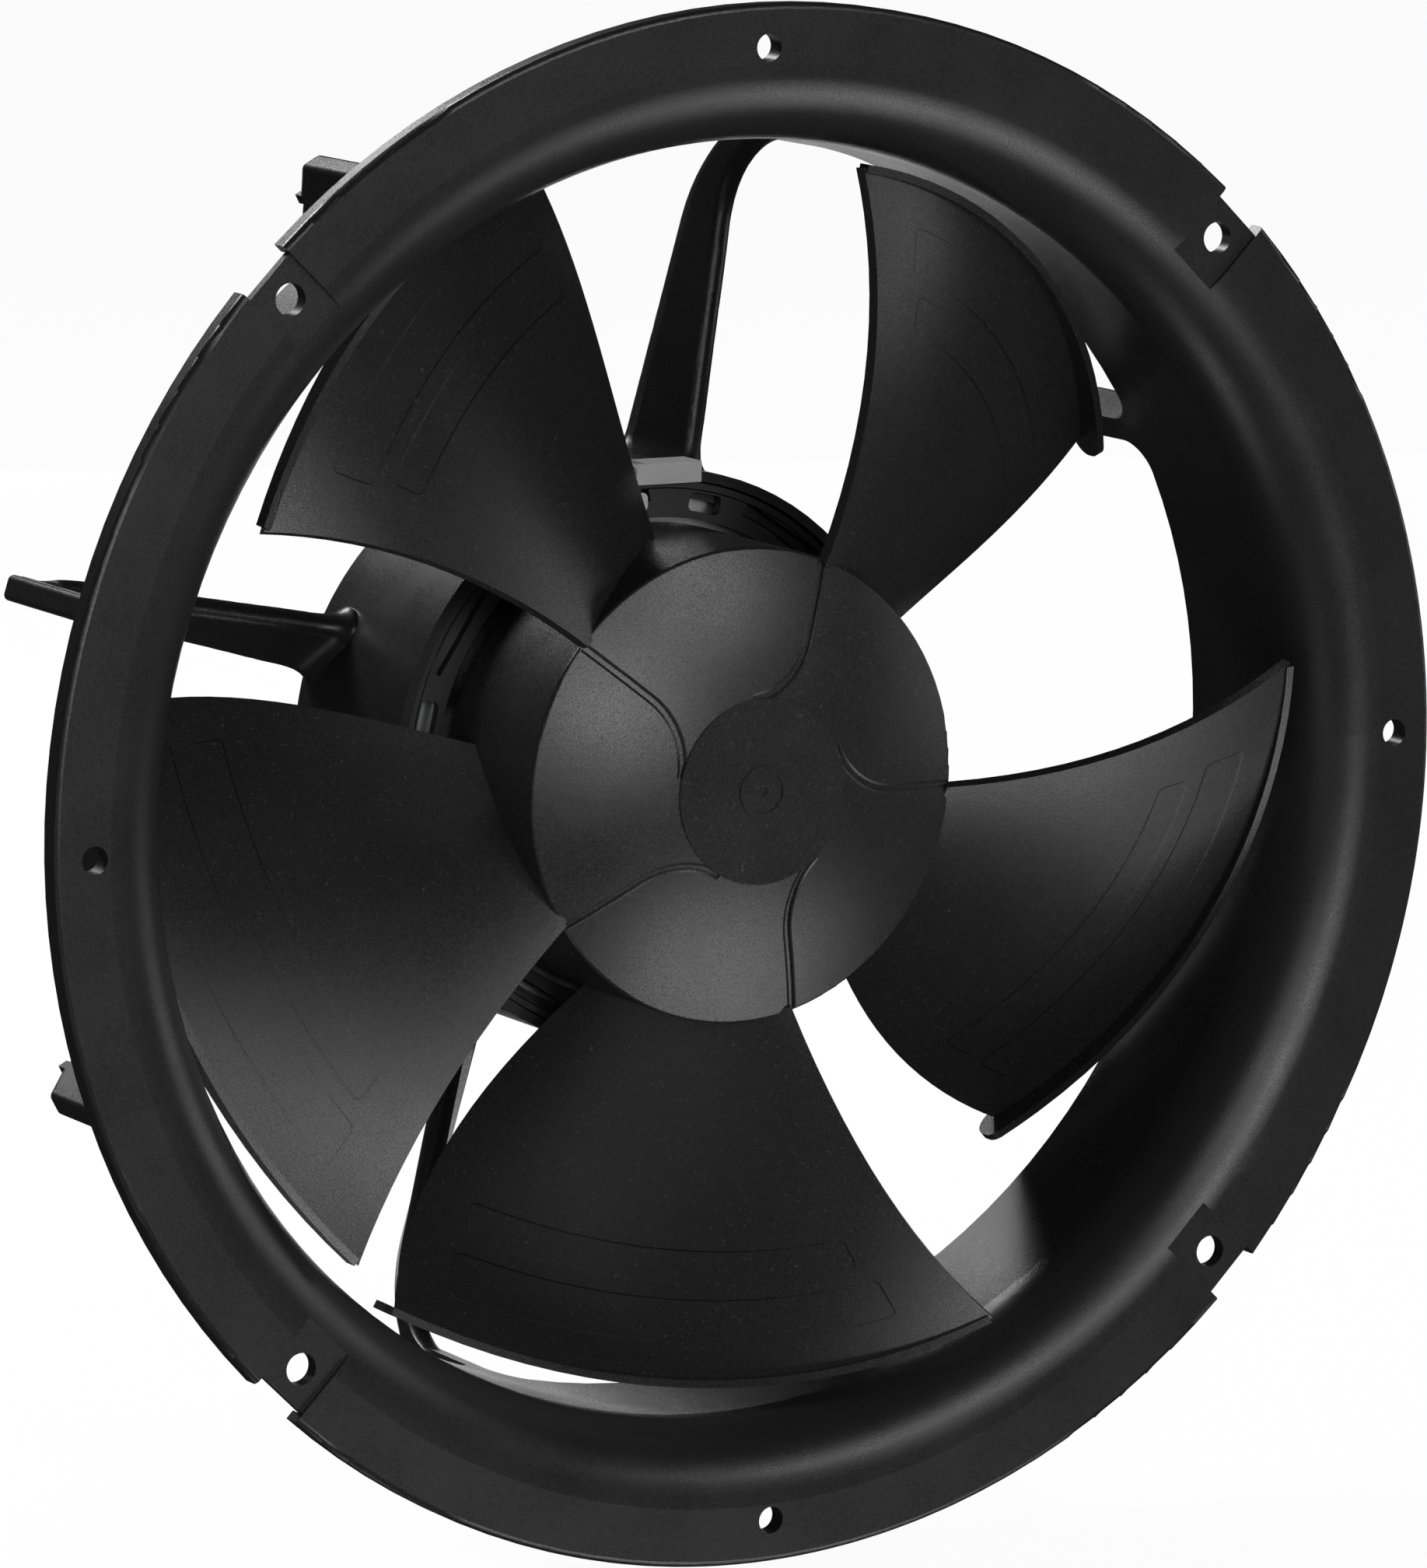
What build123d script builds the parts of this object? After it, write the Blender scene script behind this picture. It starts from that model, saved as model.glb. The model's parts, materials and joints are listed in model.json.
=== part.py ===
# Axial wall fan: a moulded wall ring with eight struts and a motor cup, a five bladed
# impeller with winglets, and an external rotor motor with its electronics in the cup.
# Millimetres. The fan's axis is Y, the inlet faces -Y, +Z is up, and the origin is on
# the axis in the plane where the flange's turned lip rests on the wall.
import os
from math import acos, atan2, cos, degrees, radians, sin, sqrt

from build123d import *

# Wall ring: flange, turned lip, bellmouth and nozzle
throat_d = 313.0
bell_r = 19.5
flange_land = 14.5
lip_depth = 5.3
wall = 2.5
rim_round = 1.5
nozzle_depth = 57.0

# Fixing holes, and the recessed pads of the large ones
hole_inset = 10.5
large_hole_d = 7.8
small_hole_d = 6.7
pad_width = 14.8
pad_chord = 2.8
pad_length = 18.2
pad_recess = 1.3
hole_boss_wall = 2.6

# Struts: ribs on the nozzle, and arms to the motor cup
strut_count = 8
strut_angle = 27.3
rib_width = 6.4
rib_height = 11.7
rib_setback = 23.5
rib_corner = 3.0
rib_edge = 1.5
ear_fillet = 8.5
arm_round = 3.1
arm_depth = 17.2
arm_rise = 4.4
arm_bend_r = 20.0
arm_sweep_r = 30.0
arm_lean_cup = 10.8
arm_lean_ring = 0.9
arm_rear_lean = 1.3
arm_root_flare = 4.5

# Motor cup
cup_gap = 11.1
cup_length = 56.0
cup_overlap = 5.0
cup_floor = 3.0
cup_floor_width = 17.5
cup_round = 2.0
cup_play = 0.5

# Impeller hub
hub_d = 116.8
hub_wall = 2.5
hub_face_depth = 4.2
hub_rise = 9.2
hub_length = 48.6
hub_disc_d = 45.6
hub_disc_step = 0.5
hub_bulge = 1.0
hub_rim_round = 1.0
hub_rib_count = 10
hub_rib_width = 2.0
hub_rib_inner_r = 20.0
gate_ring_d = 12.6
gate_ring_width = 0.8
gate_ring_height = 0.4
gate_dimple_d = 2.4
groove_width = 1.3
groove_depth = 0.6
groove_turn_r = 20.0

# Blades: each edge is given at the root, half way and at the tip, as an angle round the
# axis and as a depth behind the flange's front face
blade_count = 5
tip_gap = 3.4
blade_thickness = 2.6
blade_camber = 0.1
lead_angles = (67.5, 72.7, 79.5)
lead_depths = (12.9, 6.2, 4.8)
trail_angles = (26.3, 24.4, 28.3)
trail_depths = (44.5, 67.0, 73.2)
winglet_thickness = 2.0
winglet_height = 8.0
winglet_toe_in = 2.0
winglet_tail = 0.05
winglet_tail_round = 4.5

# Rotor of the motor
bell_play = 0.3
bell_wall = 1.5
bell_inset = 5.6
bell_setback = 2.0
bell_bead = 1.0
collar_d = 11.6
collar_length = 8.0
magnet_count = 8
magnet_thickness = 3.2
magnet_inset = 9.0
magnet_setback = 3.0
magnet_gap_angle = 3.0
shaft_d = 8.0
shaft_tail = 1.5
shaft_head_d = 13.0
shaft_head = 1.2

# Stator of the motor
air_gap = 0.8
slot_count = 12
core_length = 20.0
core_yoke_d = 46.0
tooth_width = 5.0
shoe_height = 3.6
shoe_angle = 25.0
former_thickness = 0.6
coil_yoke_gap = 4.5
coil_shoe_gap = 2.8
coil_build = 2.7
tube_wall = 3.5
tube_step = 2.5
tube_lead = 1.5
plate_play = 1.5
plate_thickness = 4.0
plate_gap = 4.0

# Bearings, size 608
bearing_d = 22.0
bearing_width = 7.0
inner_ring_d = 12.2
outer_ring_d = 18.6
ball_d = 3.97
ball_count = 7
ball_play = 0.06
cage_margin = 0.7
cage_play = 0.5
rear_bearing_setback = 9.0
bearing_shoulder = 1.4
shoulder_length = 3.0
circlip_thickness = 1.0
circlip_d = 12.0
circlip_groove = 0.4
circlip_gap_angle = 70.0
fit_play = 0.04

# Motor housing and the ring that clips the motor in it
housing_wall = 1.6
housing_inset = 1.5
housing_floor = 2.5
housing_lap = 1.0
ledge_width = 3.5
ledge_length = 2.0
clip_gap = 1.6
clip_ring_front = 2.5
clip_skirt = 2.4
clip_play = 0.3
clip_edge = 0.5
clip_slot_angle = 146.0
clip_slot_count = 8
clip_slot_length = 24.0
clip_slot_width = 3.6
clip_notch_lag = 20.5
clip_notch_length = 9.0
clip_notch_width = 4.8
clip_notch_corner = 1.5

# Circuit board and its parts
board_margin = 8.0
board_thickness = 1.6
board_gap = 6.0
post_d = 6.0
post_inset = 5.0
capacitor_d = 14.0
capacitor_gap = 5.9
capacitor_row_z = 16.0
capacitor_pitch = 17.0
choke_d = 22.0
choke_bore_d = 9.0
choke_height = 10.0
choke_x = 20.0
choke_z = -14.0
terminal_length = 26.0
terminal_width = 9.0
terminal_height = 11.0
terminal_x = -18.0
terminal_z = -16.0

# Rear cover with its seal, the screws and the cable gland
cover_play = 2.0
cover_flange = 3.0
cover_flange_width = 11.0
cover_height = 11.0
cover_wall = 2.2
cover_round = 4.0
seal_inset = 3.0
seal_width = 1.6
seal_height = 1.2
seal_side_play = 0.3
screw_count = 4
cover_screw_inset = 2.7
cover_screw_d = 3.0
cover_screw_head_d = 5.2
cover_screw_length = 6.0
housing_screw_inset = 9.0
housing_screw_d = 4.0
housing_screw_head_d = 7.5
housing_screw_length = 9.0
screw_head = 2.0
screw_drive_d = 2.0
screw_drive_depth = 1.2
screw_boss_wall = 1.5
screw_boss_length = 5.0
screw_play = 0.2
thread_play = 0.05
gland_z = -20.0
gland_thread_d = 16.0
gland_hex_d = 22.0
gland_hex_length = 4.0
gland_nut_d = 20.0
gland_nut_length = 9.0
cable_d = 7.0

# Earth bracket on the cup's front edge
bracket_angle = 89.0
bracket_width = 24.0
bracket_overlap = 1.1
bracket_sheet = 1.2
bracket_slot = 1.9
bracket_tongue_width = 9.0
bracket_tongue_corner = 1.5
bracket_web = 3.0
bracket_leg_length = 8.0
bracket_leg_width = 15.4
bracket_leg_gap = 0.4
bracket_play = 0.2
earth_boss_d = 5.2
earth_boss_length = 9.0
earth_boss_lag = 7.0
earth_screw_d = 2.4
earth_screw_head_d = 4.0
earth_screw_head = 1.3
earth_screw_length = 5.0
earth_screw_drive_depth = 0.8

throat_r = throat_d / 2
bell_centre_r = throat_r + bell_r
flange_r = bell_centre_r + flange_land
pitch_r = flange_r - hole_inset
pad_outer_r = flange_r - pad_chord
pad_inner_r = pad_outer_r - pad_length
middle_r = throat_r + wall / 2
rib_r = throat_r + rib_height
tip_r = throat_r - tip_gap
hub_r = hub_d / 2
hub_inner_r = hub_r - hub_wall
cup_inner_r = hub_r + cup_gap
cup_r = cup_inner_r + wall
housing_r = cup_inner_r - cup_play
housing_inner_r = housing_r - housing_wall

hub_rim_depth = hub_face_depth + hub_rise
hub_rear_depth = hub_rim_depth + hub_length
cup_front_depth = hub_rear_depth - cup_overlap
cup_rear_depth = cup_front_depth + cup_length
floor_depth = cup_rear_depth - cup_floor
cavity_depth = floor_depth - housing_floor
housing_front_depth = cup_front_depth + housing_inset
plate_depth = hub_rear_depth + plate_gap
plate_rear = plate_depth + plate_thickness
arm_rear_depth = cup_rear_depth
arm_front_depth = arm_rear_depth - arm_depth
rib_depth = arm_rear_depth - rib_setback
bell_front_depth = hub_rim_depth + bell_inset
bell_rear_depth = hub_rear_depth - bell_setback
magnet_front_depth = bell_front_depth + magnet_inset
magnet_rear_depth = bell_rear_depth - magnet_setback
front_bearing_depth = bell_front_depth + collar_length
bearing_rear = front_bearing_depth + bearing_width
rear_bearing_depth = plate_depth - rear_bearing_setback
strut_angles = [strut_angle + k * 360 / strut_count for k in range(strut_count)]
large_hole_angles = [45.0 + 90.0 * k for k in range(4)]
small_hole_angles = [90.0 * k for k in range(4)]
blade_angles = [k * 360 / blade_count for k in range(blade_count)]
screw_angles = [45.0 + k * 360 / screw_count for k in range(screw_count)]


def at(depth):
    # Y of a place so far behind the flange's front face
    return depth - lip_depth


def turned(shape, angle):
    # the shape turned about the fan's axis, anticlockwise as seen from the inlet
    return shape.rotate(Axis.Y, -angle)


def facing(radius, angle=0.0):
    # a plane square to the radius: its X runs clockwise and its Y to the rear
    return Plane(
        origin=(radius * cos(radians(angle)), 0, radius * sin(radians(angle))),
        x_dir=(sin(radians(angle)), 0, -cos(radians(angle))),
        z_dir=(cos(radians(angle)), 0, sin(radians(angle))),
    )


def across(depth):
    # a plane across the axis that looks to the inlet: its X is X and its Y is Z
    return Plane(origin=(0, at(depth), 0), x_dir=(1, 0, 0), z_dir=(0, -1, 0))


def on_circle(radius, angle):
    return (radius * cos(radians(angle)), radius * sin(radians(angle)))


def place(radius, angle, depth):
    # a point in space by its radius, its angle round the axis and its depth
    x, z = on_circle(radius, angle)
    return (x, at(depth), z)


def between(root, middle, tip, share):
    # a smooth value through three stations
    near = root * (1 - share) * (1 - 2 * share)
    half = middle * 4 * share * (1 - share)
    far = tip * share * (2 * share - 1)
    return near + half + far


def save(builder, name):
    builder.part.label = name
    export_step(builder.part, f"parts/{name}.step")


def turn_ring(inner_r, outer_r, front_depth, rear_depth):
    # a plain ring about the axis, added to the part being built
    with BuildSketch(across(rear_depth)) as section:
        Circle(outer_r)
        if inner_r > 0:
            Circle(inner_r, mode=Mode.SUBTRACT)
    extrude(section.sketch, amount=rear_depth - front_depth)


def stand(circle_r, angles, diameter, front_depth, rear_depth, mode=Mode.ADD):
    # round pieces along the axis on a circle
    with BuildSketch(across(rear_depth)) as section:
        for angle in angles:
            with Locations(on_circle(circle_r, angle)):
                Circle(diameter / 2)
    extrude(section.sketch, amount=rear_depth - front_depth, mode=mode)


os.makedirs("parts", exist_ok=True)

# Wall ring, in one moulding with its struts and the motor cup

cup_opening_r = cup_inner_r - cup_floor_width
bracket_seat_depth = cup_front_depth + bracket_sheet
earth_boss_r = cup_inner_r + earth_boss_d / 2
earth_boss_angle = bracket_angle + earth_boss_lag
housing_screw_r = cup_inner_r - housing_screw_inset


def arm_front(radius):
    line_end = throat_r - arm_bend_r
    along = min(radius, line_end) - cup_r
    depth = arm_front_depth + arm_rise * along / (line_end - cup_r)
    if radius > line_end:
        past = min(radius - line_end, arm_bend_r)
        depth = depth - arm_bend_r + sqrt(arm_bend_r**2 - past**2)
    return depth


def arm_rear(radius):
    # level, then a sweep, then the slope that the rib's rear edge goes on with
    slope_start = rib_r - (rib_drop - sweep_drop)
    if radius > slope_start:
        return rib_depth + (rib_r - radius)
    if radius > slope_start - sweep_drop_r:
        past = radius - slope_start + sweep_drop_r
        return arm_rear_depth - arm_sweep_r + sqrt(arm_sweep_r**2 - past**2)
    return arm_rear_depth


sweep_drop_r = arm_sweep_r * sin(radians(45))
sweep_drop = arm_sweep_r - sweep_drop_r
rib_drop = arm_rear_depth - rib_depth
ear_rear_depth = rib_depth + rib_r - throat_r

arm_start = cup_r - 2.1
arm_end = throat_r + 0.6
arm_middle = (cup_r + throat_r) / 2
arm_line_end = throat_r - arm_bend_r
flare_end = cup_r + 1.3 * arm_root_flare
arm_stations = [
    arm_start,
    cup_r + 0.1 * arm_root_flare,
    cup_r + 0.35 * arm_root_flare,
    cup_r + 0.7 * arm_root_flare,
    flare_end,
    cup_r + 12.0,
    cup_r + 20.0,
    arm_middle,
    arm_line_end - 8.0,
    arm_line_end,
    arm_line_end + arm_bend_r * 0.35,
    arm_line_end + arm_bend_r * 0.62,
    arm_line_end + arm_bend_r * 0.85,
    arm_end,
]

with BuildPart() as strut:
    for station in arm_stations:
        reach = min(1.0, max(0.0, (station - cup_r) / (throat_r - cup_r)))
        near_cup = min(1.0, max(0.0, (flare_end - station) / (flare_end - cup_r)))
        half = arm_round + arm_root_flare * (1 - sqrt(1 - 0.8 * near_cup**2))
        lean = arm_lean_cup + (arm_lean_ring - arm_lean_cup) * reach
        rear_lean = arm_rear_lean * (1 - reach)
        front_y = at(arm_front(station)) + arm_round
        rear_y = at(arm_rear(station)) - half
        spread = sqrt((lean - rear_lean) ** 2 + (rear_y - front_y) ** 2)
        slant = degrees(atan2(rear_y - front_y, rear_lean - lean))
        with BuildSketch(facing(station)):
            with Locations(((lean + rear_lean) / 2, (front_y + rear_y) / 2)):
                SlotCenterToCenter(spread, 2 * half, rotation=slant)
    loft()

with BuildPart() as ear:
    half = rib_width / 2
    base = at(nozzle_depth)
    top = at(ear_rear_depth) - 0.5
    with BuildSketch(facing(throat_r - 3 * wall)):
        with BuildLine():
            Polyline(
                (-half, base + ear_fillet),
                (-half, top),
                (half, top),
                (half, base + ear_fillet),
            )
            CenterArc((half + ear_fillet, base + ear_fillet), ear_fillet, 180, 90)
            Polyline(
                (half + ear_fillet, base),
                (-half - ear_fillet, base),
            )
            CenterArc((-half - ear_fillet, base + ear_fillet), ear_fillet, 270, 90)
        make_face()
    extrude(amount=6 * wall)
    with BuildSketch(across(ear_rear_depth), mode=Mode.PRIVATE) as ear_band:
        Circle(throat_r + wall)
        Circle(throat_r, mode=Mode.SUBTRACT)
    extrude(ear_band.sketch, amount=ear_rear_depth, mode=Mode.INTERSECT)

with BuildPart() as rib:
    rib_start = degrees(acos((bell_centre_r - rib_r) / (bell_r - wall / 2)))
    with BuildSketch(Plane.XY) as rib_side:
        with BuildLine():
            front_arc = CenterArc(
                (bell_centre_r, at(bell_r)), bell_r - wall / 2, 180, rib_start
            )
            Polyline(
                front_arc @ 1,
                (rib_r, at(rib_depth)),
                (middle_r, at(rib_depth) + rib_r - middle_r),
                front_arc @ 0,
            )
        make_face()
        corners = rib_side.vertices().filter_by(lambda v: abs(v.X - rib_r) < 0.01)
        fillet(corners.sort_by(Axis.Y)[-1], rib_corner)
    extrude(amount=rib_width / 2, both=True)
    side_edges = rib.edges().filter_by(lambda e: abs(e.center().Z) > 0.49 * rib_width)
    outside_edges = side_edges.filter_by(lambda e: e.center().X > throat_r + wall)
    outside_edges = outside_edges.filter_by(lambda e: e.center().Y > at(bell_r))
    fillet(outside_edges, rib_edge)

with BuildPart() as wall_ring:
    with BuildSketch(Plane.XY):
        with BuildLine():
            CenterArc((bell_centre_r, at(bell_r)), bell_r, 180, 90)
            Line((bell_centre_r, at(0)), (flange_r - rim_round, at(0)))
            CenterArc((flange_r - rim_round, at(rim_round)), rim_round, 270, 90)
            Polyline(
                (flange_r, at(rim_round)),
                (flange_r, at(lip_depth)),
                (flange_r - wall, at(lip_depth)),
                (flange_r - wall, at(wall)),
                (bell_centre_r, at(wall)),
            )
            CenterArc((bell_centre_r, at(bell_r)), bell_r - wall, 180, 90)
            Polyline(
                (throat_r + wall, at(bell_r)),
                (throat_r + wall, at(nozzle_depth)),
                (throat_r, at(nozzle_depth)),
                (throat_r, at(bell_r)),
            )
        make_face()
    revolve(axis=Axis.Y)
    pad_back = pad_recess + wall
    for angle in large_hole_angles:
        x, z = on_circle((pad_outer_r + bell_centre_r) / 2, angle)
        with Locations(Location((x, at(wall / 2 + pad_back / 2), z), (0, -angle, 0))):
            Box(
                pad_outer_r - bell_centre_r,
                pad_back - wall / 2 - wall / 2,
                pad_width + 2 * wall,
            )
        outside = flange_r + 1.0
        x, z = on_circle((pad_inner_r + outside) / 2, angle)
        with Locations(Location((x, at(pad_recess) - wall, z), (0, -angle, 0))):
            Box(outside - pad_inner_r, 2 * wall, pad_width, mode=Mode.SUBTRACT)
        x, z = on_circle((pad_outer_r + outside) / 2, angle)
        with Locations(Location((x, at(lip_depth / 2), z), (0, -angle, 0))):
            Box(outside - pad_outer_r, 2 * lip_depth, pad_width, mode=Mode.SUBTRACT)
    boss_d = large_hole_d + 2 * hole_boss_wall
    stand(pitch_r, large_hole_angles, boss_d, pad_back - wall / 2, lip_depth)
    boss_d = small_hole_d + 2 * hole_boss_wall
    stand(pitch_r, small_hole_angles, boss_d, wall / 2, lip_depth)
    stand(pitch_r, large_hole_angles, large_hole_d, -1, lip_depth + 1, Mode.SUBTRACT)
    stand(pitch_r, small_hole_angles, small_hole_d, -1, lip_depth + 1, Mode.SUBTRACT)
    with BuildSketch(Plane.XY) as cup_section:
        with BuildLine():
            Polyline(
                (cup_inner_r, at(cup_front_depth)),
                (cup_r, at(cup_front_depth)),
                (cup_r, at(cup_rear_depth)),
                (cup_opening_r, at(cup_rear_depth)),
                (cup_opening_r, at(floor_depth)),
                (cup_inner_r, at(floor_depth)),
                (cup_inner_r, at(cup_front_depth)),
            )
        make_face()
        outer = cup_section.vertices().filter_by(lambda v: abs(v.X - cup_r) < 0.01)
        fillet(outer.sort_by(Axis.Y)[-1], cup_round)
    revolve(axis=Axis.Y)
    stand(
        housing_screw_r,
        screw_angles,
        housing_screw_d + 2 * screw_play,
        floor_depth - 1,
        cup_rear_depth + 1,
        Mode.SUBTRACT,
    )
    with BuildSketch(across(bracket_seat_depth)) as bracket_seat:
        with Locations(Location(on_circle(cup_inner_r, bracket_angle), bracket_angle)):
            Rectangle(4 * cup_gap, bracket_width + 2 * bracket_play)
    extrude(bracket_seat.sketch, amount=bracket_sheet + 1, mode=Mode.SUBTRACT)
    boss_end = bracket_seat_depth + earth_boss_length
    stand(earth_boss_r, [earth_boss_angle], earth_boss_d, bracket_seat_depth, boss_end)
    hole_d = earth_screw_d + 2 * thread_play
    hole_front = bracket_seat_depth - 1
    hole_end = bracket_seat_depth + earth_screw_length + 1
    stand(earth_boss_r, [earth_boss_angle], hole_d, hole_front, hole_end, Mode.SUBTRACT)
    pieces = [strut.part, ear.part, rib.part]
    add([turned(piece, angle) for angle in strut_angles for piece in pieces])
save(wall_ring, "wall_ring")

# Impeller: hub with inner ribs, and blades with winglets


def winglet_line(chord):
    # radius of the middle of the winglet's wall
    return tip_r - winglet_thickness / 2 - winglet_toe_in * chord**2


def blade_point(share, chord):
    radius = hub_r + share * (winglet_line(chord) - hub_r)
    lead_angle = between(*lead_angles, share)
    lead_depth = between(*lead_depths, share)
    trail_angle = between(*trail_angles, share)
    trail_depth = between(*trail_depths, share)
    sag = 4 * blade_camber * chord * (1 - chord)
    angle = lead_angle + (trail_angle - lead_angle) * chord
    depth = lead_depth + (trail_depth - lead_depth) * (chord - sag)
    return radius, angle, depth


root_share = -0.5 * hub_wall / (tip_r - hub_r)
rows = 9
columns = 13
blade_grid = []
for row in range(rows):
    share = root_share + (1 - root_share) * row / (rows - 1)
    line = []
    for column in range(columns):
        line.append(place(*blade_point(share, column / (columns - 1))))
    blade_grid.append(line)

winglet_grid = []
for row in range(15):
    chord = 0.01 + (1 + winglet_tail - 0.01) * row / 14
    radius, angle, depth = blade_point(1.0, chord)
    rise = winglet_height * max(0.0, chord) ** 1.4
    margin = 0.8 * blade_thickness
    line = []
    for column in range(4):
        down = column / 3
        strip = depth - rise - margin + (rise + 2 * margin) * down
        line.append(place(radius, angle, strip))
    winglet_grid.append(line)

with BuildPart() as blade:
    blade_face = Face.make_surface_from_array_of_points(blade_grid)
    thicken(blade_face, amount=blade_thickness / 2, both=True)

with BuildPart() as winglet:
    winglet_face = Face.make_surface_from_array_of_points(winglet_grid)
    thicken(winglet_face, amount=winglet_thickness / 2, both=True)
    short_edges = winglet.edges().filter_by(lambda e: e.length < 1.2 * winglet_thickness)
    tail_edges = short_edges.sort_by(lambda e: atan2(e.center().Z, e.center().X))[0:2]
    fillet(tail_edges, winglet_tail_round)

dome_mid_r = (hub_disc_d / 2 + hub_r) / 2
dome_mid_depth = (hub_face_depth + hub_rim_depth) / 2 - hub_bulge
disc_r = hub_disc_d / 2


def dome(behind):
    # the hub's front between its disc and its rim, so far behind the surface
    return ThreePointArc(
        (disc_r, at(hub_face_depth + behind)),
        (dome_mid_r, at(dome_mid_depth + behind)),
        (hub_r, at(hub_rim_depth + behind)),
    )


with BuildPart() as groove_layer:
    with BuildSketch(Plane.XY):
        with BuildLine():
            layer_arc = dome(groove_depth)
            Polyline(
                layer_arc @ 1,
                (hub_r + 2, at(hub_rim_depth + groove_depth)),
                (hub_r + 2, at(-2)),
                (disc_r, at(-2)),
                layer_arc @ 0,
            )
        make_face()
    revolve(axis=Axis.Y)

turn_x = sqrt((disc_r + groove_turn_r) ** 2 - groove_turn_r**2)
turn_end = degrees(atan2(groove_turn_r, turn_x))
with BuildPart() as groove:
    with BuildSketch(across(hub_rim_depth + 2)):
        half = groove_width / 2
        with Locations(((turn_x + hub_r + 1) / 2, 0)):
            Rectangle(hub_r + 1 - turn_x, groove_width)
        with BuildLine():
            centre = (turn_x, groove_turn_r)
            first = CenterArc(centre, groove_turn_r + half, 180 + turn_end, 90 - turn_end)
            second = CenterArc(centre, groove_turn_r - half, 180 + turn_end, 90 - turn_end)
            Line(first @ 0, second @ 0)
            Line(first @ 1, second @ 1)
        make_face()
    extrude(amount=hub_rim_depth + 4)
    add(groove_layer.part, mode=Mode.INTERSECT)

with BuildPart() as impeller:
    with BuildSketch(Plane.XY) as hub_section:
        with BuildLine():
            front_line = dome(0)
            inner_y = at(hub_rim_depth) + 0.7 * hub_wall
            inner_line = ThreePointArc(
                (disc_r, at(hub_face_depth + hub_wall)),
                (dome_mid_r - hub_wall / 2, at(dome_mid_depth + 0.85 * hub_wall)),
                (hub_inner_r, inner_y),
            )
            Polyline(
                (0, at(hub_face_depth - hub_disc_step)),
                (disc_r, at(hub_face_depth - hub_disc_step)),
                front_line @ 0,
            )
            Polyline(
                front_line @ 1,
                (hub_r, at(hub_rear_depth)),
                (hub_inner_r, at(hub_rear_depth)),
                inner_line @ 1,
            )
            Polyline(
                inner_line @ 0,
                (0, at(hub_face_depth + hub_wall)),
                (0, at(hub_face_depth - hub_disc_step)),
            )
        make_face()
        rim = hub_section.vertices().filter_by(lambda v: abs(v.X - hub_r) < 0.01)
        fillet(rim.sort_by(Axis.Y)[0], hub_rim_round)
    revolve(axis=Axis.Y)
    with BuildSketch(Plane.XY, mode=Mode.PRIVATE) as hub_rib:
        rib_front = hub_wall / 2
        wall_middle = hub_r - hub_wall / 2
        with BuildLine():
            Polyline(
                (hub_rib_inner_r, at(hub_face_depth + rib_front)),
                (dome_mid_r, at(dome_mid_depth + rib_front)),
                (wall_middle, at(hub_rim_depth + rib_front)),
                (wall_middle, at(bell_front_depth)),
                (hub_rib_inner_r, at(bell_front_depth)),
                (hub_rib_inner_r, at(hub_face_depth + rib_front)),
            )
        make_face()
    hub_rib_solid = extrude(
        hub_rib.sketch, amount=hub_rib_width / 2, both=True, mode=Mode.PRIVATE
    )
    add([turned(hub_rib_solid, k * 360 / hub_rib_count) for k in range(hub_rib_count)])
    add([turned(groove.part, lead_angles[0] + k) for k in blade_angles], mode=Mode.SUBTRACT)
    add([turned(piece, k) for k in blade_angles for piece in [blade.part, winglet.part]])
    front = hub_face_depth - hub_disc_step
    with BuildSketch(across(front)):
        Circle(gate_ring_d / 2)
        Circle(gate_ring_d / 2 - gate_ring_width, mode=Mode.SUBTRACT)
    extrude(amount=gate_ring_height)
    stand(0, [0], gate_dimple_d, front - 1, front + gate_ring_height, Mode.SUBTRACT)
save(impeller, "impeller")

# Rotor of the motor, turning with the impeller

bell_r_outer = hub_inner_r - bell_play
bell_inner_r = bell_r_outer - bell_wall
shaft_r = shaft_d / 2
bell_floor_depth = bell_front_depth + bell_wall

with BuildPart() as rotor_bell:
    turn_ring(shaft_r + fit_play, bell_r_outer, bell_front_depth, bell_floor_depth)
    turn_ring(bell_inner_r, bell_r_outer, bell_front_depth, bell_rear_depth)
    bead_front = magnet_front_depth - 2 * bell_bead
    bead_inner_r = bell_inner_r - bell_bead
    turn_ring(bead_inner_r, bell_inner_r + bell_wall / 2, bead_front, magnet_front_depth)
    turn_ring(shaft_r + fit_play, collar_d / 2, bell_front_depth, front_bearing_depth)
save(rotor_bell, "rotor_bell")

magnet_outer_r = bell_inner_r - fit_play
magnet_inner_r = magnet_outer_r - magnet_thickness
magnet_arc = 360 / magnet_count - magnet_gap_angle
with BuildPart() as rotor_magnets:
    with BuildSketch(Plane.XY) as magnet_section:
        magnet_length = magnet_rear_depth - magnet_front_depth
        middle_y = at((magnet_front_depth + magnet_rear_depth) / 2)
        with Locations(((magnet_inner_r + magnet_outer_r) / 2, middle_y)):
            Rectangle(magnet_thickness, magnet_length)
    one_magnet = revolve(
        magnet_section.sketch,
        axis=Axis.Y,
        revolution_arc=magnet_arc,
        mode=Mode.PRIVATE,
    )
    for k in range(magnet_count):
        add(turned(one_magnet, k * 360 / magnet_count))
save(rotor_magnets, "rotor_magnets")

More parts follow.
